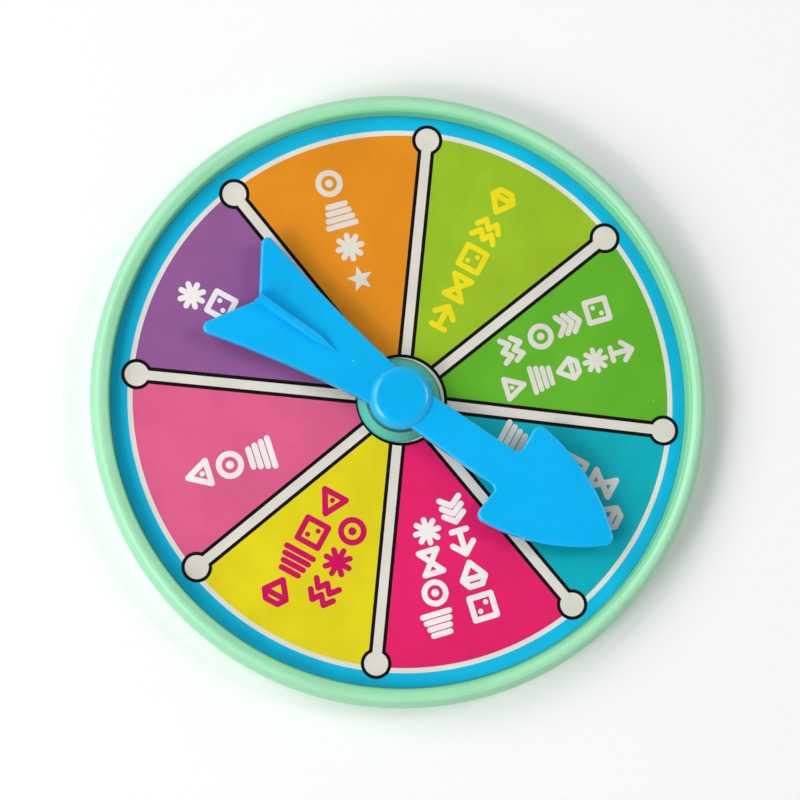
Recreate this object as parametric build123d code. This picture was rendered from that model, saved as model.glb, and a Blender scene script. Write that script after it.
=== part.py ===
from build123d import *
import math
import os

# Game spinner: a round moulded tray with a printed paper dial, and a free-spinning pointer.
# Millimetres, +Z up. The origin is the centre of the face the tray rests on.
# The pointer at rest lies along REST_ANGLE, seen from above, measured from +X.

# Tray
TRAY_RADIUS = 50.2            # widest, at the mould's parting line
PARTING_LINE_Z = 4.0
FOOT_RADIUS = 49.9            # outer wall at the foot
RIM_ABOVE_FLOOR = 3.2
RIM_OUTER_RADIUS = 49.4       # outer wall at the top, before rounding
RIM_OUTER_ROUND = 0.8
LIP_HEIGHT = 0.3              # low lip along the rim's outer side, above the ledge inside it
LIP_FOOT_RADIUS = 47.8
LIP_TOP_RADIUS = 48.5
LIP_ROUND = 0.5
LIP_FOOT_ROUND = 0.6
LEDGE_RADIUS = 47.25          # inner wall at the ledge, before rounding
LEDGE_ROUND = 0.45
DIAL_RADIUS = 46.9            # inner wall at the floor, where the dial lies
FLOOR_UNDER = 1.6             # height of the floor's underside above the table
FLOOR_THICKNESS = 1.6
SKIRT_INNER_RADIUS = 48.3
SKIRT_INNER_DRAFT = 0.3
FOOT_ROUND = 0.4

# Raised boss that carries the pointer
BOSS_FOOT_RADIUS = 6.8
BOSS_TOP_RADIUS = 5.3
BOSS_HEIGHT = 1.9             # above the floor
BOSS_EDGE_ROUND = 0.3
BOSS_WEB = 2.4                # wall at the boss's top, which the stem turns in
BOSS_POCKET_RADIUS = 4.7      # hollow from below, for the washer and the screw head
BORE_RADIUS = 2.55

# Ribs under the floor
RIB_COUNT = 8
RIB_WIDTH = 1.0
RIB_DEPTH = 1.1
POCKET_RING_WIDTH = 1.5
MID_RING_RADIUS = 26.0
EJECTOR_MARK_RADIUS = 2.2
EJECTOR_MARK_DEPTH = 0.12
EJECTOR_MARK_CIRCLE = 36.0

# Printed dial
DIAL_THICKNESS = 0.2
DIAL_GAP = 0.06               # between the paper's edge and the tray's wall
DIAL_HOLE_RADIUS = 6.9

# Pointer
REST_ANGLE = -34.05
ARM_THICKNESS = 1.6
ARM_EDGE_ROUND = 0.35
HUB_RADIUS = 5.25
HUB_HEIGHT = 2.4
HUB_SHOULDER = 1.6
STEM_RADIUS = 2.5
STEM_END_PLAY = 0.15
PILOT_RADIUS = 1.05
PILOT_DEPTH = 4.6

# Pointer outline, along the arrow from the pivot (x) and to each side (y), corners still sharp
TIP_X = 42.0
HEAD_MID = (32.0, 6.7)
BARB = (20.6, 9.3)
BARB_ROOT = (21.0, 3.4)
SHAFT_AT_HUB = (3.6, 3.15)
TAIL_AT_HUB = (-3.4, 3.7)
TAIL_MID = (-18.0, 6.15)
FIN = (-34.1, 10.0)
NOTCH_X = -27.9
TIP_ROUND = 1.35
BARB_ROUND = 1.3
ROOT_ROUND = 0.9
FIN_ROUND = 1.0
NOTCH_ROUND = 0.3
CORNER_TOLERANCE = 0.05       # how near a vertex must be to count as a named corner

# Ridge along the tail: highest at the notch, sinking slowly, then running out to a point
RIDGE_END_X = -12.2
RIDGE_RUNOUT_X = -16.4
RIDGE_HEIGHT = 2.3            # at the notch
RIDGE_RUNOUT_HEIGHT = 1.1     # where the run-out starts
RIDGE_CREST_HALF_WIDTH = 0.6
RIDGE_SIDE_DRAFT = 0.09       # how much each side widens per millimetre of height
RIDGE_OVERRUN = 2.0           # how far it is drawn past the notch before it is trimmed

# Washers and screw
THRUST_WASHER_INNER = 2.65
THRUST_WASHER_OUTER = 4.4
THRUST_WASHER_THICKNESS = 0.5
RETAINER_INNER = 1.45
RETAINER_OUTER = 4.2
RETAINER_THICKNESS = 0.6
SCREW_LENGTH = 5.0
SCREW_MAJOR_RADIUS = 1.25
SCREW_MINOR_RADIUS = 0.95
SCREW_PITCH = 0.9
THREAD_CREST_FROM = 0.45      # crest of a thread ridge, as shares of the pitch
THREAD_CREST_TO = 0.55
SCREW_POINT = 1.0
SCREW_HEAD_RADIUS = 2.5
SCREW_HEAD_HEIGHT = 1.5
SCREW_HEAD_ROUND = 0.8
RECESS_SPAN = 2.6
RECESS_SLOT = 0.55
RECESS_DEPTH = 0.9

# Heights that follow from the sizes above
FLOOR_TOP = FLOOR_UNDER + FLOOR_THICKNESS
RIM_TOP = FLOOR_TOP + RIM_ABOVE_FLOOR
LEDGE_Z = RIM_TOP - LIP_HEIGHT
BOSS_TOP = FLOOR_TOP + BOSS_HEIGHT
WEB_UNDER = BOSS_TOP - BOSS_WEB
HUB_UNDER = BOSS_TOP + THRUST_WASHER_THICKNESS
ARM_TOP = HUB_UNDER + ARM_THICKNESS
STEM_END = WEB_UNDER - STEM_END_PLAY
RETAINER_UNDER = STEM_END - RETAINER_THICKNESS
RIB_FOOT = FLOOR_UNDER - RIB_DEPTH


def ring(outer, inner, foot, top):
    """A flat ring about Z between two heights."""
    height = top - foot
    align = (Align.CENTER, Align.CENTER, Align.MIN)
    return Pos(0, 0, foot) * (
        Cylinder(outer, height, align=align) - Cylinder(inner, height, align=align)
    )


def disc(radius, foot, top):
    """A plain cylinder about Z between two heights."""
    return Pos(0, 0, foot) * Cylinder(
        radius, top - foot, align=(Align.CENTER, Align.CENTER, Align.MIN)
    )


def turned(face):
    """A solid turned about Z from a flat outline drawn as x = radius, y = height."""
    return revolve(Plane.XZ * face, axis=Axis.Z)


def corners_at(face, x, y=0.0):
    """The corners of a flat outline at (x, y) and (x, -y)."""
    return [v for v in face.vertices() if math.hypot(v.X - x, abs(v.Y) - y) < CORNER_TOLERANCE]


def tray_outline():
    """Half of the tray's cross-section, from the bore out over the rim and back underneath."""
    face = make_face(
        Polyline(
            (BORE_RADIUS, WEB_UNDER),
            (BORE_RADIUS, BOSS_TOP),
            (BOSS_TOP_RADIUS, BOSS_TOP),
            (BOSS_FOOT_RADIUS, FLOOR_TOP),
            (DIAL_RADIUS, FLOOR_TOP),
            (LEDGE_RADIUS, LEDGE_Z),
            (LIP_FOOT_RADIUS, LEDGE_Z),
            (LIP_TOP_RADIUS, RIM_TOP),
            (RIM_OUTER_RADIUS, RIM_TOP),
            (TRAY_RADIUS, PARTING_LINE_Z),
            (FOOT_RADIUS, 0),
            (SKIRT_INNER_RADIUS, 0),
            (SKIRT_INNER_RADIUS - SKIRT_INNER_DRAFT, FLOOR_UNDER),
            (BOSS_POCKET_RADIUS, FLOOR_UNDER),
            (BOSS_POCKET_RADIUS, WEB_UNDER),
            close=True,
        )
    )
    for x, y, radius in (
        (BOSS_TOP_RADIUS, BOSS_TOP, BOSS_EDGE_ROUND),
        (LEDGE_RADIUS, LEDGE_Z, LEDGE_ROUND),
        (LIP_FOOT_RADIUS, LEDGE_Z, LIP_FOOT_ROUND),
        (LIP_TOP_RADIUS, RIM_TOP, LIP_ROUND),
        (RIM_OUTER_RADIUS, RIM_TOP, RIM_OUTER_ROUND),
        (FOOT_RADIUS, 0, FOOT_ROUND),
        (SKIRT_INNER_RADIUS, 0, FOOT_ROUND),
    ):
        face = fillet(corners_at(face, x, y), radius)
    return face


def floor_ribs():
    """Rings and spokes under the floor that keep it flat."""
    ribs = ring(BOSS_POCKET_RADIUS + POCKET_RING_WIDTH, BOSS_POCKET_RADIUS, RIB_FOOT, FLOOR_UNDER)
    ribs += ring(MID_RING_RADIUS + RIB_WIDTH, MID_RING_RADIUS, RIB_FOOT, FLOOR_UNDER)
    inner = BOSS_POCKET_RADIUS + POCKET_RING_WIDTH / 2
    length = SKIRT_INNER_RADIUS - inner
    for index in range(RIB_COUNT):
        spoke = Pos(inner, 0, RIB_FOOT) * Box(
            length, RIB_WIDTH, RIB_DEPTH, align=(Align.MIN, Align.CENTER, Align.MIN)
        )
        ribs += Rot(0, 0, REST_ANGLE + 360 / RIB_COUNT * index) * spoke
    return ribs


def ejector_marks():
    """The shallow discs that the mould's ejector pins leave between the ribs."""
    mark = disc(EJECTOR_MARK_RADIUS, FLOOR_UNDER, FLOOR_UNDER + EJECTOR_MARK_DEPTH)
    step = 360 / RIB_COUNT
    return [
        Rot(0, 0, REST_ANGLE + step * (index + 0.5)) * (Pos(EJECTOR_MARK_CIRCLE, 0, 0) * mark)
        for index in range(RIB_COUNT)
    ]


def base_tray():
    tray = turned(tray_outline()) + floor_ribs()
    for mark in ejector_marks():
        tray -= mark
    return tray


def dial_label():
    return ring(
        DIAL_RADIUS - DIAL_GAP, DIAL_HOLE_RADIUS, FLOOR_TOP, FLOOR_TOP + DIAL_THICKNESS
    )


def side_outline():
    """One side of the arrow, from the tip round to the notch, as an open chain of edges."""
    return [
        ThreePointArc((TIP_X, 0), HEAD_MID, BARB),
        Line(BARB, BARB_ROOT),
        Line(BARB_ROOT, SHAFT_AT_HUB),
        Line(SHAFT_AT_HUB, TAIL_AT_HUB),
        ThreePointArc(TAIL_AT_HUB, TAIL_MID, FIN),
        Line(FIN, (NOTCH_X, 0)),
    ]


def arrow_face():
    """The arrow's flat outline with its corners rounded."""
    side = side_outline()
    face = make_face(side + [mirror(edge, about=Plane.XZ) for edge in side])
    for x, y, radius in (
        (TIP_X, 0, TIP_ROUND),
        (*BARB, BARB_ROUND),
        (*BARB_ROOT, ROOT_ROUND),
        (*FIN, FIN_ROUND),
        (NOTCH_X, 0, NOTCH_ROUND),
    ):
        face = fillet(corners_at(face, x, y), radius)
    return face


def ridge_section(x):
    """The ridge's cross-section at one place along the arrow, standing on the arm's top."""
    fall = (RIDGE_HEIGHT - RIDGE_RUNOUT_HEIGHT) / (RIDGE_RUNOUT_X - NOTCH_X)
    height = RIDGE_RUNOUT_HEIGHT + fall * (RIDGE_RUNOUT_X - x)
    crest = RIDGE_CREST_HALF_WIDTH
    foot = crest + RIDGE_SIDE_DRAFT * height
    place = Plane((x, 0, ARM_TOP), x_dir=(0, 1, 0), z_dir=(1, 0, 0))
    outline = Polyline((-foot, 0), (-crest, height), (crest, height), (foot, 0), close=True)
    return place * make_face(outline)


def tail_ridge(face):
    """A rib that sinks from the notch towards the hub, trimmed by the notch."""
    start = ridge_section(NOTCH_X - RIDGE_OVERRUN)
    runout = ridge_section(RIDGE_RUNOUT_X)
    rib = loft([start, runout, Vertex(RIDGE_END_X, 0, ARM_TOP)], ruled=True)
    column = extrude(
        Pos(0, 0, ARM_TOP) * face, amount=RIDGE_HEIGHT + RIDGE_OVERRUN, dir=(0, 0, 1)
    )
    return rib & column


def pointer():
    face = arrow_face()
    arrow = extrude(Pos(0, 0, HUB_UNDER) * face, amount=ARM_THICKNESS, dir=(0, 0, 1))
    arrow = fillet(arrow.edges().group_by(Axis.Z)[-1], ARM_EDGE_ROUND)
    hub = disc(HUB_RADIUS, HUB_UNDER, HUB_UNDER + HUB_HEIGHT)
    hub = fillet(hub.edges().group_by(Axis.Z)[-1], HUB_SHOULDER)
    stem = disc(STEM_RADIUS, STEM_END, HUB_UNDER + ARM_THICKNESS)
    body = arrow + tail_ridge(face) + hub + stem
    body -= disc(PILOT_RADIUS, STEM_END, STEM_END + PILOT_DEPTH)
    return Rot(0, 0, REST_ANGLE) * body


def thrust_washer():
    return ring(THRUST_WASHER_OUTER, THRUST_WASHER_INNER, BOSS_TOP, HUB_UNDER)


def retaining_washer():
    return ring(RETAINER_OUTER, RETAINER_INNER, RETAINER_UNDER, STEM_END)


def screw_shank():
    """Shank with its thread as a stack of ridges, ending in a short point."""
    outline = [(0, RETAINER_UNDER), (SCREW_MINOR_RADIUS, RETAINER_UNDER)]
    tip = RETAINER_UNDER + SCREW_LENGTH
    ridges = int((SCREW_LENGTH - RETAINER_THICKNESS - SCREW_POINT) / SCREW_PITCH)
    for index in range(ridges):
        root = STEM_END + SCREW_PITCH * index
        outline += [
            (SCREW_MINOR_RADIUS, root),
            (SCREW_MAJOR_RADIUS, root + SCREW_PITCH * THREAD_CREST_FROM),
            (SCREW_MAJOR_RADIUS, root + SCREW_PITCH * THREAD_CREST_TO),
        ]
    outline += [(SCREW_MINOR_RADIUS, STEM_END + SCREW_PITCH * ridges), (0, tip)]
    return turned(make_face(Polyline(*outline, close=True)))


def retaining_screw():
    head = disc(SCREW_HEAD_RADIUS, RETAINER_UNDER - SCREW_HEAD_HEIGHT, RETAINER_UNDER)
    head = fillet(head.edges().group_by(Axis.Z)[0], SCREW_HEAD_ROUND)
    slot = Pos(0, 0, RETAINER_UNDER - SCREW_HEAD_HEIGHT) * Box(
        RECESS_SPAN, RECESS_SLOT, RECESS_DEPTH, align=(Align.CENTER, Align.CENTER, Align.MIN)
    )
    for turn in (0, 90):
        head -= Rot(0, 0, turn) * slot
    return head + screw_shank()


os.makedirs("parts", exist_ok=True)
for make in (base_tray, dial_label, pointer, thrust_washer, retaining_washer, retaining_screw):
    export_step(make(), f"parts/{make.__name__}.step")
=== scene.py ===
import math

import bpy
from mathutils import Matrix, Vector
from mathutils.geometry import delaunay_2d_cdt


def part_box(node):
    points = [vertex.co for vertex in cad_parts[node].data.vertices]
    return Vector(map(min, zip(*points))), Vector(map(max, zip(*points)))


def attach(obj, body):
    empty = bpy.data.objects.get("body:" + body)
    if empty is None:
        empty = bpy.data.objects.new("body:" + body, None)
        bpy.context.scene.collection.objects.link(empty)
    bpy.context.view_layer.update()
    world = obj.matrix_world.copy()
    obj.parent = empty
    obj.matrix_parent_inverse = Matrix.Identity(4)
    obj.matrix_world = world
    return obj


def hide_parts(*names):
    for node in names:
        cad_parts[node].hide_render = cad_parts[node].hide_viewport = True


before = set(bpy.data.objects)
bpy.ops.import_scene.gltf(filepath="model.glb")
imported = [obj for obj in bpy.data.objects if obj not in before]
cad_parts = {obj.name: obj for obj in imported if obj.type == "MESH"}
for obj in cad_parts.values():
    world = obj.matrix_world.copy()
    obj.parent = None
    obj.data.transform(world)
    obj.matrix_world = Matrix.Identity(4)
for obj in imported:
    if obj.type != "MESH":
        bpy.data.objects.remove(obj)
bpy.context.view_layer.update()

# A round game spinner: mint tray, printed paper dial, blue pointer. Metres, +Z up.
# Drawing sizes below are in millimetres and are turned into metres when a mesh is made.
MM = 0.001
BASE = "base"                # the body that carries the dial

# The printed artwork, about its own centre, which sits a little off the tray's centre
PRINT_SHIFT = (0.406, 0.025)
SPOKES = (84.35, 39.2, -5.8, -49.9, -95.45, -140.1, -184.7, -230.7)    # degrees, clockwise
WHITE_RING = 44.51
SECTOR_RADIUS = 43.68
KNOB_CIRCLE = 43.2
KNOB_OUTER, KNOB_INNER = 2.50, 1.94
SPOKE_OUTER, SPOKE_INNER = 1.36, 0.76
HUB_RING_OUTER, HUB_RING_INNER = 7.5, 6.98
DIAL_HOLE = 6.9
INK = 0.04                   # thickness of the printed layer
CIRCLE_POINTS = 288
KNOB_POINTS = 72

# Ink colours, linear, going clockwise from the sector on the right of the first spoke
SECTOR_INKS = {
    "lime": (0.30, 0.50, 0.018),
    "green": (0.115, 0.43, 0.022),
    "teal": (0.0015, 0.40, 0.475),
    "magenta": (0.74, 0.014, 0.135),
    "yellow": (0.73, 0.62, 0.009),
    "pink": (0.70, 0.109, 0.247),
    "purple": (0.277, 0.097, 0.286),
    "orange": (0.75, 0.26, 0.011),
}
CREAM = (0.70, 0.67, 0.60)
OTHER_INKS = {
    "blue": (0.004, 0.47, 0.76),
    "ring": (0.75, 0.72, 0.66),
    "cream": CREAM,
    "black": (0.003, 0.002, 0.002),
    "mark_cream": CREAM,
    "mark_white": (0.84, 0.80, 0.78),
    "mark_yellow": (0.80, 0.68, 0.010),
    "mark_crimson": (0.58, 0.004, 0.10),
}
PAPER_DARK, PAPER_LIGHT = (0.72, 0.69, 0.63), (0.80, 0.78, 0.73)

MINT = (0.36, 0.755, 0.475)
# Painted shade and blue bounce light: a darker, bluer mint on the boss around the hub
HUB_SHADE_MINT = (0.09, 0.50, 0.40)
# Painted shade: a darker mint on the tray's steep inner wall
INNER_WALL_SHADE_MINT = (0.19, 0.60, 0.32)
# Painted shade: a darker mint on the tray's outer wall
OUTER_WALL_SHADE_MINT = (0.27, 0.62, 0.38)
GAP_MINT = (0.01, 0.13, 0.11)     # stands for the shaded gap under the hub
# Painted shade on the tray above its floor, as tints: from and to which distance off its axis, fade,
# colour
TRAY_SHADE_TINTS = (
    (0, 7.0, 0.7, HUB_SHADE_MINT),
    (0, 5.48, 0.12, GAP_MINT),
    (46.5, 47.2, 0.9, INNER_WALL_SHADE_MINT),
    (49.7, 52, 0.6, OUTER_WALL_SHADE_MINT),
)
SKY = (0.001, 0.445, 0.87)
WASHER_WHITE = (0.75, 0.75, 0.70)
WASHER_ZINC = (0.60, 0.60, 0.57)
SCREW_ZINC = (0.66, 0.65, 0.62)

# The paper dial fills its CAD solid, which lies on the tray's floor
dial_low, dial_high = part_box("dial_label")
DIAL_RADIUS = dial_high.x / MM
DIAL_TOP = dial_high.z / MM
FLOOR_TOP = dial_low.z / MM


# ---------------------------------------------------------------- materials

NOISE_MIDDLE = (0.3, 0.7)    # where most of a noise texture's values lie
HAZE_MIDDLE = (0.2, 0.8)     # wider, so that the haze stays soft
SPECK_FADE = 1.5             # a speck fades out at this many times its radius


def feed(tree, socket, value):
    """Links an output into a socket, or sets the socket to a number, a vector or a colour."""
    if isinstance(value, bpy.types.NodeSocket):
        tree.links.new(value, socket)
    elif socket.type == "RGBA":
        socket.default_value = (*value, 1)
    else:
        socket.default_value = value


def add_node(tree, kind, inputs, **settings):
    """A new shader node. Its inputs go by name or by number."""
    node = tree.nodes.new("ShaderNode" + kind)
    for name, value in settings.items():
        setattr(node, name, value)
    for name, value in inputs.items():
        feed(tree, node.inputs[name], value)
    return node


class Shader:
    """A Principled material with object coordinates in millimetres and a few short helpers."""

    def __init__(self, name):
        self.material = bpy.data.materials.new(name)
        self.material.use_nodes = True
        self.tree = self.material.node_tree
        self.principled = self.tree.nodes["Principled BSDF"]
        metres = self.node("TexCoord", {}).outputs["Object"]
        self.mm = self.node("VectorMath", {0: metres, "Scale": 1 / MM}, operation="SCALE").outputs[0]

    def node(self, kind, inputs, **settings):
        return add_node(self.tree, kind, inputs, **settings)

    def set(self, name, value):
        """Feeds one input of the Principled node."""
        feed(self.tree, self.principled.inputs[name], value)

    def noise(self, size, detail, stretch=(1, 1, 1)):
        """Noise from 0 to 1 whose features are about size millimetres, divided by the stretch."""
        mapped = self.node("Mapping", {"Vector": self.mm, "Scale": stretch}).outputs[0]
        inputs = {"Vector": mapped, "Scale": 1 / size, "Detail": detail}
        return self.node("TexNoise", inputs).outputs["Fac"]

    def mottle(self, size, detail, low, high, stretch=(1, 1, 1), middle=NOISE_MIDDLE):
        """Noise whose middle range is spread out to run from low to high."""
        return self.ramp(self.noise(size, detail, stretch), *middle, low, high)

    def specks(self, spacing, radius, share):
        """1 inside round specks: one every spacing millimetres at most, and only a share of them."""
        cells = self.node("TexVoronoi", {"Vector": self.mm, "Scale": 1 / spacing})
        edge = radius / spacing
        near = self.ramp(cells.outputs["Distance"], edge, edge * SPECK_FADE, 1, 0)
        red = self.node("SeparateColor", {0: cells.outputs["Color"]}).outputs[0]
        return self.math("MULTIPLY", near, self.math("LESS_THAN", red, share))

    def annulus(self, inner, outer, fade):
        """1 between two distances from the object's Z axis, fading to 0 on both sides."""
        flat = self.node("VectorMath", {0: self.mm, 1: (1, 1, 0)}, operation="MULTIPLY").outputs[0]
        distance = self.node("VectorMath", {0: flat}, operation="LENGTH").outputs["Value"]
        rising = self.ramp(distance, inner - fade, inner, 0, 1)
        falling = self.ramp(distance, outer, outer + fade, 1, 0)
        return self.math("MULTIPLY", rising, falling)

    def above(self, level, fade):
        """1 above a height over the object's origin, fading to 0 below it."""
        height = self.node("SeparateXYZ", {0: self.mm}).outputs["Z"]
        return self.ramp(height, level - fade, level, 0, 1)

    def math(self, operation, a, b):
        return self.node("Math", {0: a, 1: b}, operation=operation).outputs[0]

    def ramp(self, value, low, high, to_low, to_high):
        """value from low..high mapped smoothly to to_low..to_high and clamped."""
        inputs = {"Value": value, "From Min": low, "From Max": high}
        inputs |= {"To Min": to_low, "To Max": to_high}
        return self.node("MapRange", inputs, interpolation_type="SMOOTHSTEP").outputs["Result"]

    def mix(self, factor, a, b):
        """Colour a where the factor is 0 and colour b where it is 1."""
        return self.node("Mix", {"Factor": factor, 6: a, 7: b}, data_type="RGBA").outputs[2]

    def shades(self, factor, colour, darkest, lightest):
        """The colour times darkest where the factor is 0, and times lightest where it is 1."""
        return self.mix(factor, shade(colour, darkest), shade(colour, lightest))

    def bump(self, height, distance, strength=1.0):
        inputs = {"Height": height, "Distance": distance * MM, "Strength": strength}
        self.set("Normal", self.node("Bump", inputs).outputs[0])


def shade(colour, factor):
    return tuple(min(1.0, c * factor) for c in colour)


def dusty(colour, share, grey):
    """A share of the colour with some grey added, for dust that lies on it."""
    return tuple(share * c + grey for c in colour)


def ink_material(name, colour):
    """Offset print on coated paper: faint blotches, fine grain and a few specks of dust."""
    s = Shader(name)
    blotch = s.mottle(size=9.0, detail=3, low=0, high=1)
    tint = s.shades(blotch, colour, darkest=0.94, lightest=1.05)
    dust = s.specks(spacing=3.2, radius=0.07, share=0.10)
    s.set("Base Color", s.mix(dust, tint, dusty(colour, share=0.4, grey=0.45)))
    s.set("Roughness", s.mottle(size=1.4, detail=2, low=0.42, high=0.52))
    s.set("Specular IOR Level", 0.14)
    s.bump(s.noise(size=0.35, detail=3), distance=0.012, strength=0.5)
    return s.material


def paper_material():
    """The label's white paper core, seen at its cut edges."""
    s = Shader("label_paper")
    fibre = s.mottle(size=0.5, detail=4, low=0, high=1)
    s.set("Base Color", s.mix(fibre, PAPER_DARK, PAPER_LIGHT))
    s.set("Roughness", 0.8)
    s.bump(s.noise(size=0.2, detail=3), distance=0.01)
    return s.material


def moulded_material(name, colour, roughness, depth, dust_share, shade_tints=()):
    """Injection-moulded plastic: soft light inside, faint flow streaks, fine haze and dust.

    Each tint colours a ring around the Z axis, above the tray's floor; the tray's tints are painted
    shade.
    """
    s = Shader(name)
    flow = s.mottle(size=16.0, detail=2, low=0, high=1, stretch=(1, 1, 0.4))
    tint = s.shades(flow, colour, darkest=0.96, lightest=1.04)
    # Painted shade: each tint ring mixes a shade colour into the base colour
    for inner, outer, fade, other in shade_tints:
        shade_zone = s.math("MULTIPLY", s.above(FLOOR_TOP, fade=0.1), s.annulus(inner, outer, fade))
        tint = s.mix(shade_zone, tint, other)
    dust = s.specks(spacing=4.0, radius=0.10, share=dust_share)
    s.set("Base Color", s.mix(dust, tint, dusty(colour, share=0.5, grey=0.4)))
    clear, hazy = roughness * 0.92, roughness * 1.1
    s.set("Roughness", s.mottle(size=6.0, detail=1, low=clear, high=hazy, middle=HAZE_MIDDLE))
    s.set("Subsurface Weight", 0.2)
    s.set("Subsurface Scale", depth * MM)
    s.set("Subsurface Radius", (0.6, 1.0, 1.0))
    s.bump(s.noise(size=0.9, detail=2), distance=0.004)
    return s.material


def steel_material(name, colour, roughness):
    """Zinc-plated steel: mottled, with a fine grain."""
    s = Shader(name)
    patches = s.mottle(size=0.8, detail=3, low=0, high=1)
    s.set("Base Color", s.shades(patches, colour, darkest=0.85, lightest=1.1))
    s.set("Metallic", 1.0)
    smooth, coarse = roughness * 0.8, roughness * 1.3
    s.set("Roughness", s.mottle(size=0.4, detail=3, low=smooth, high=coarse))
    s.bump(s.noise(size=0.12, detail=2, stretch=(1, 1, 6)), distance=0.01)
    return s.material


# ---------------------------------------------------------------- flat shapes, in millimetres

def circle(radius, centre=(0, 0), points=CIRCLE_POINTS):
    turns = (2 * math.pi * i / points for i in range(points))
    return [(centre[0] + radius * math.cos(t), centre[1] + radius * math.sin(t)) for t in turns]


def strip(start, end, half_width):
    """A straight band from start to end."""
    (x0, y0), (x1, y1) = start, end
    length = math.hypot(x1 - x0, y1 - y0)
    nx = -(y1 - y0) / length * half_width
    ny = (x1 - x0) / length * half_width
    return [(x0 + nx, y0 + ny), (x0 - nx, y0 - ny), (x1 - nx, y1 - ny), (x1 + nx, y1 + ny)]


def polar(radius, degrees, centre=PRINT_SHIFT):
    angle = math.radians(degrees)
    return (centre[0] + radius * math.cos(angle), centre[1] + radius * math.sin(angle))


# ---------------------------------------------------------------- printed marks

# Marks are drawn in a cell that runs from -0.5 to 0.5, so these are shares of the cell's size
STROKE = 0.10                # half a stroke's width
DOT = 0.09                   # a small dot's radius
STAR_TIPS = 5
JOINT_POINTS, RING_POINTS, DOT_POINTS = 12, 20, 16


def line_mark(*points):
    """A chain of strokes with round joints."""
    shapes = [strip(a, b, STROKE) for a, b in zip(points, points[1:])]
    return shapes + [circle(STROKE, p, JOINT_POINTS) for p in points]


def loop_mark(*points):
    return line_mark(*points, points[0])


def stacked(heights, points):
    """The same chain of strokes at several heights."""
    return [shape for up in heights for shape in line_mark(*((x, y + up) for x, y in points))]


def target_mark():
    return loop_mark(*circle(0.38, (0, 0), RING_POINTS)) + [circle(0.14, (0, 0), DOT_POINTS)]


def pips_mark():
    box = loop_mark((-0.38, -0.38), (0.38, -0.38), (0.38, 0.38), (-0.38, 0.38))
    return box + [circle(DOT, place, DOT_POINTS) for place in ((-0.13, -0.13), (0.13, 0.13))]


def burst_mark():
    rays = ((0.42, 0), (0.3, 0.3), (0, 0.42), (-0.3, 0.3))
    return [shape for x, y in rays for shape in line_mark((-x, -y), (x, y))]


def star_mark():
    radii = (0.46, 0.20)
    corners = range(2 * STAR_TIPS)
    return [[polar(radii[i % 2], 90 + i * 180 / STAR_TIPS, (0, 0)) for i in corners]]


def triangle_mark():
    outline = loop_mark((-0.4, -0.34), (0.4, -0.34), (0, 0.38))
    return outline + [circle(DOT, (0, -0.12), DOT_POINTS)]


def bars_mark():
    """Four bars that get shorter towards the top."""
    heights = (-0.36, -0.12, 0.12, 0.36)
    return [shape for y in heights for shape in line_mark((-0.4 + y / 4, y), (0.4 - y / 4, y))]


def wave_mark():
    points = ((-0.42, -0.14), (-0.2, 0.14), (0.02, -0.14), (0.22, 0.14), (0.42, -0.14))
    return stacked((-0.22, 0.2), points)


def chevron_mark():
    return stacked((-0.3, -0.02, 0.26), ((-0.34, -0.12), (0, 0.14), (0.34, -0.12)))


def gem_mark():
    outline = loop_mark((0, -0.42), (0.4, 0.12), (0.22, 0.38), (-0.22, 0.38), (-0.4, 0.12))
    return outline + line_mark((-0.38, 0.12), (0.38, 0.12))


def glass_mark():
    return loop_mark((-0.34, 0.4), (0.34, 0.4), (-0.34, -0.4), (0.34, -0.4))


def arrow_mark():
    head = line_mark((-0.36, 0.04), (0, 0.4), (0.36, 0.04))
    return line_mark((0, -0.42), (0, 0.4)) + head + line_mark((-0.26, -0.42), (0.26, -0.42))


MARKS = {
    "target": target_mark(),
    "pips": pips_mark(),
    "burst": burst_mark(),
    "star": star_mark(),
    "triangle": triangle_mark(),
    "bars": bars_mark(),
    "wave": wave_mark(),
    "chevron": chevron_mark(),
    "gem": gem_mark(),
    "glass": glass_mark(),
    "arrow": arrow_mark(),
}

# Rows of marks: sector, ink, cell size, first and last distance from the centre,
# first and last offset to the left of the sector's centre line, and the marks from the rim inwards
MARK_ROWS = (
    ("orange", "mark_cream", 4.7, (37.4, 20.9), (1.1, 0.7), "target bars burst star"),
    ("lime", "mark_yellow", 4.6, (36.9, 15.5), (1.1, 0.5), "gem wave pips glass arrow"),
    ("green", "mark_cream", 4.5, (35.2, 19.9), (5.4, 3.0), "pips chevron target wave"),
    ("green", "mark_cream", 4.2, (37.2, 18.5), (-2.2, -3.0), "arrow burst gem bars triangle"),
    ("teal", "mark_cream", 4.6, (35.2, 18.9), (3.7, 3.05), "glass pips burst bars"),
    ("teal", "mark_cream", 4.6, (38.6, 22.2), (-0.6, -1.6), "gem triangle wave arrow"),
    ("magenta", "mark_white", 4.6, (36.6, 21.7), (-5.0, -2.4), "bars target glass burst"),
    ("magenta", "mark_white", 4.8, (36.0, 19.6), (2.7, 2.6), "pips gem arrow chevron"),
    ("yellow", "mark_crimson", 4.9, (37.2, 20.5), (-3.2, -2.2), "gem bars pips triangle"),
    ("yellow", "mark_crimson", 4.9, (34.0, 22.8), (3.5, 3.0), "wave burst target"),
    ("pink", "mark_white", 4.8, (35.2, 24.6), (2.2, 2.0), "triangle target bars"),
    ("purple", "mark_white", 4.6, (38.0, 23.0), (1.2, -1.3), "burst pips chevron gem"),
)


def sector_width(index):
    return (SPOKES[index] - SPOKES[(index + 1) % len(SPOKES)]) % 360


def between(ends, share):
    """The number that lies a share of the way from the first end to the second."""
    return ends[0] + (ends[1] - ends[0]) * share


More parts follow.
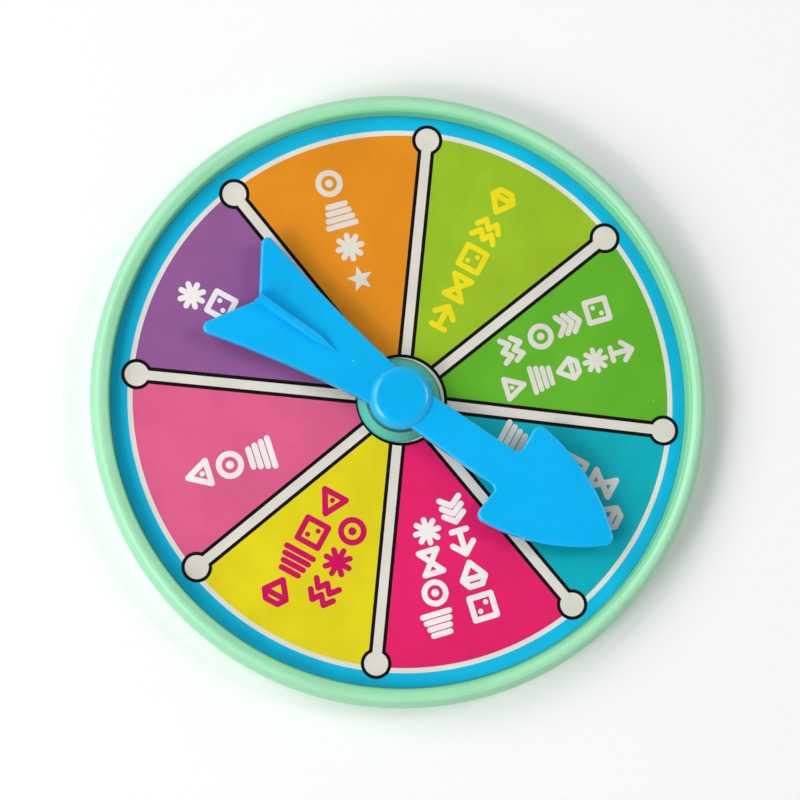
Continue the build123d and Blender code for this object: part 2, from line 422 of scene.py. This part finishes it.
def placed_marks():
    """Every mark as (ink, outline) in the tray's frame."""
    middles = {name: SPOKES[i] - sector_width(i) / 2 for i, name in enumerate(SECTOR_INKS)}
    out = []
    for sector, ink, cell, radii, offsets, row in MARK_ROWS:
        heading = math.radians(middles[sector])
        along = Vector((math.cos(heading), math.sin(heading)))
        left = Vector((-math.sin(heading), math.cos(heading)))
        names = row.split()
        for i, name in enumerate(names):
            share = i / (len(names) - 1)
            radius = between(radii, share)
            offset = between(offsets, share)
            centre = Vector(PRINT_SHIFT) + along * radius + left * offset
            for shape in MARKS[name]:
                points = [tuple(centre + (left * -x + along * y) * cell) for x, y in shape]
                out.append((ink, points))
    return out


# ---------------------------------------------------------------- the dial

CDT_INSIDE = 1               # keep the triangles inside the outlines
CDT_EPSILON = 1e-5           # points closer than this many millimetres count as one


def artwork():
    """The print as (ink, outline) layers, each one covering those before it."""
    knobs = [polar(KNOB_CIRCLE, heading) for heading in SPOKES]
    layers = [
        ("blue", circle(DIAL_RADIUS)),
        ("ring", circle(WHITE_RING, PRINT_SHIFT)),
        ("sector", circle(SECTOR_RADIUS, PRINT_SHIFT)),
    ]
    for ink, half_width, radius in (
        ("black", SPOKE_OUTER, KNOB_OUTER), ("cream", SPOKE_INNER, KNOB_INNER)
    ):
        layers += [(ink, strip(PRINT_SHIFT, knob, half_width)) for knob in knobs]
        layers += [(ink, circle(radius, knob, KNOB_POINTS)) for knob in knobs]
    layers.append(("black", circle(HUB_RING_OUTER, PRINT_SHIFT)))
    layers.append(("cream", circle(HUB_RING_INNER, PRINT_SHIFT)))
    layers += placed_marks()
    layers.append(("hole", circle(DIAL_HOLE)))
    return layers


def sector_at(x, y):
    """The name of the sector ink at a point."""
    angle = math.degrees(math.atan2(y - PRINT_SHIFT[1], x - PRINT_SHIFT[0]))
    for index, name in enumerate(SECTOR_INKS):
        if (SPOKES[index] - angle) % 360 < sector_width(index):
            return name
    return next(iter(SECTOR_INKS))


def split_by_ink(layers):
    """Cuts the overlapping outlines into triangles that meet edge to edge, grouped by ink."""
    points = []
    outlines = []
    for _, shape in layers:
        outlines.append(list(range(len(points), len(points) + len(shape))))
        points += [Vector(p) for p in shape]
    cut = delaunay_2d_cdt(points, [], outlines, CDT_INSIDE, CDT_EPSILON)
    verts, _, faces, _, _, sources = cut
    groups = {}
    for face, found in zip(faces, sources):
        if not found:
            continue
        ink = layers[max(found)][0]
        if ink == "sector":
            middle = sum((verts[i] for i in face), Vector((0, 0))) / len(face)
            ink = sector_at(*middle)
        groups.setdefault(ink, []).append(face)
    groups.pop("hole")
    return verts, groups


def slab(name, verts, faces, low, high, material):
    """A flat closed part of the dial between two heights, from triangles that lie side by side."""
    used = sorted({i for face in faces for i in face})
    index = {old: new for new, old in enumerate(used)}
    top = [tuple(index[i] for i in face) for face in faces]
    count = len(used)
    bottom = [tuple(i + count for i in reversed(face)) for face in top]
    edges = {(a, b) for face in top for a, b in zip(face, face[1:] + face[:1])}
    walls = [(b, a, a + count, b + count) for a, b in edges if (b, a) not in edges]
    walls.sort()
    points = [(*verts[i], high) for i in used] + [(*verts[i], low) for i in used]
    mesh = bpy.data.meshes.new(name)
    mesh.from_pydata([tuple(c * MM for c in p) for p in points], [], top + bottom + walls)
    mesh.materials.append(material)
    mesh.validate()
    piece = bpy.data.objects.new(name, mesh)
    bpy.context.scene.collection.objects.link(piece)
    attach(piece, BASE)
    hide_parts("dial_label")


def dial():
    """The paper disc and, on top of it, one flat piece for each ink."""
    verts, groups = split_by_ink(artwork())
    inks = SECTOR_INKS | OTHER_INKS
    for ink, faces in sorted(groups.items()):
        material = ink_material("ink_" + ink, inks[ink])
        slab("print_" + ink, verts, faces, DIAL_TOP - INK, DIAL_TOP, material)
    everything = [face for ink in sorted(groups) for face in groups[ink]]
    slab("dial_paper", verts, everything, FLOOR_TOP, DIAL_TOP - INK, paper_material())


# ---------------------------------------------------------------- carried-over solids

def paint(node, material):
    """Gives a CAD node one material in all its slots."""
    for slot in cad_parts[node].material_slots:
        slot.link = "OBJECT"
        slot.material = material


# ---------------------------------------------------------------- stage

CAMERA_TILT = 10.34          # degrees off straight down
CAMERA_SIDE = 233.1          # the way the camera leans, from +X
CAMERA_DISTANCE = 850.0      # millimetres
CAMERA_AIM = (0.173, 0.016, 3.4)
FRAME_WIDTH = 129.9          # millimetres across the frame at the aim point
SENSOR_WIDTH = 36.0
CLIP_NEAR, CLIP_FAR = 0.01, 20

# Disc lights: name, direction from +X, elevation, distance in metres, diameter in metres, watts
LIGHTS = (
    ("key", 209, 37, 1.2, 0.8, 7.8),
    ("window", 212, 42, 1.2, 0.2, 1.4),
    ("side", 152, 44, 1.2, 0.8, 5.2),
    ("fill", 20, 50, 1.4, 0.5, 3.8),
)
SKY_AT_HORIZON, SKY_OVERHEAD = 0.85, 0.05
FLOOR_HALF = 3.0             # metres
FLOOR_COLOUR = (0.92, 0.92, 0.92)


def towards(direction, elevation):
    """The unit vector towards a direction from +X and an elevation, both in degrees."""
    turn, rise = math.radians(direction), math.radians(elevation)
    across = math.cos(rise)
    return Vector((math.cos(turn) * across, math.sin(turn) * across, math.sin(rise)))


def camera():
    data = bpy.data.cameras.new("camera")
    data.sensor_width = SENSOR_WIDTH
    data.lens = SENSOR_WIDTH * CAMERA_DISTANCE / FRAME_WIDTH
    data.clip_start = CLIP_NEAR
    data.clip_end = CLIP_FAR
    cam = bpy.data.objects.new("camera", data)
    back = towards(CAMERA_SIDE, 90 - CAMERA_TILT)
    right = Vector((0, 1, 0)).cross(back).normalized()
    matrix = cam.matrix_world.to_3x3()
    matrix.col[0] = right
    matrix.col[1] = back.cross(right)
    matrix.col[2] = back
    cam.matrix_world = matrix.to_4x4()
    cam.location = (Vector(CAMERA_AIM) + back * CAMERA_DISTANCE) * MM
    bpy.context.scene.collection.objects.link(cam)
    bpy.context.scene.camera = cam


def disc_light(name, direction, elevation, distance, size, power):
    data = bpy.data.lights.new(name, "AREA")
    data.shape = "DISK"
    data.size = size
    data.energy = power
    lamp = bpy.data.objects.new(name, data)
    back = towards(direction, elevation)
    lamp.location = back * distance
    lamp.rotation_euler = back.to_track_quat("Z", "Y").to_euler()
    bpy.context.scene.collection.objects.link(lamp)


def floor():
    s = Shader("floor")
    s.set("Base Color", FLOOR_COLOUR)
    s.set("Roughness", 0.9)
    corners = [(x * FLOOR_HALF, y * FLOOR_HALF, 0) for x, y in ((-1, -1), (1, -1), (1, 1), (-1, 1))]
    mesh = bpy.data.meshes.new("floor")
    mesh.from_pydata(corners, [], [(0, 1, 2, 3)])
    mesh.materials.append(s.material)
    plane = bpy.data.objects.new("floor", mesh)
    bpy.context.scene.collection.objects.link(plane)


def studio():
    """A white surround, bright near the horizon and dim overhead, and a plain view transform."""
    world = bpy.data.worlds.new("studio")
    world.use_nodes = True
    tree = world.node_tree
    sky = add_node(tree, "TexCoord", {}).outputs["Generated"]
    height = add_node(tree, "SeparateXYZ", {0: sky}).outputs["Z"]
    inputs = {"Value": height, "To Min": SKY_AT_HORIZON, "To Max": SKY_OVERHEAD}
    fade = add_node(tree, "MapRange", inputs).outputs["Result"]
    background = tree.nodes["Background"]
    feed(tree, background.inputs["Color"], (1, 1, 1))
    feed(tree, background.inputs["Strength"], fade)
    bpy.context.scene.world = world
    bpy.context.scene.view_settings.view_transform = "Standard"


dial()

mint_plastic = moulded_material(
    "mint_plastic", MINT, roughness=0.32, depth=1.4, dust_share=0.03, shade_tints=TRAY_SHADE_TINTS
)
sky_plastic = moulded_material("sky_plastic", SKY, roughness=0.22, depth=2.0, dust_share=0.06)
white_plastic = moulded_material(
    "white_plastic", WASHER_WHITE, roughness=0.5, depth=1.0, dust_share=0.0
)
paint("base_tray", mint_plastic)
paint("pointer", sky_plastic)
paint("thrust_washer", white_plastic)
paint("retaining_washer", steel_material("zinc_washer", WASHER_ZINC, roughness=0.32))
paint("retaining_screw", steel_material("zinc_screw", SCREW_ZINC, roughness=0.26))

floor()
studio()
for light in LIGHTS:
    disc_light(*light)
camera()
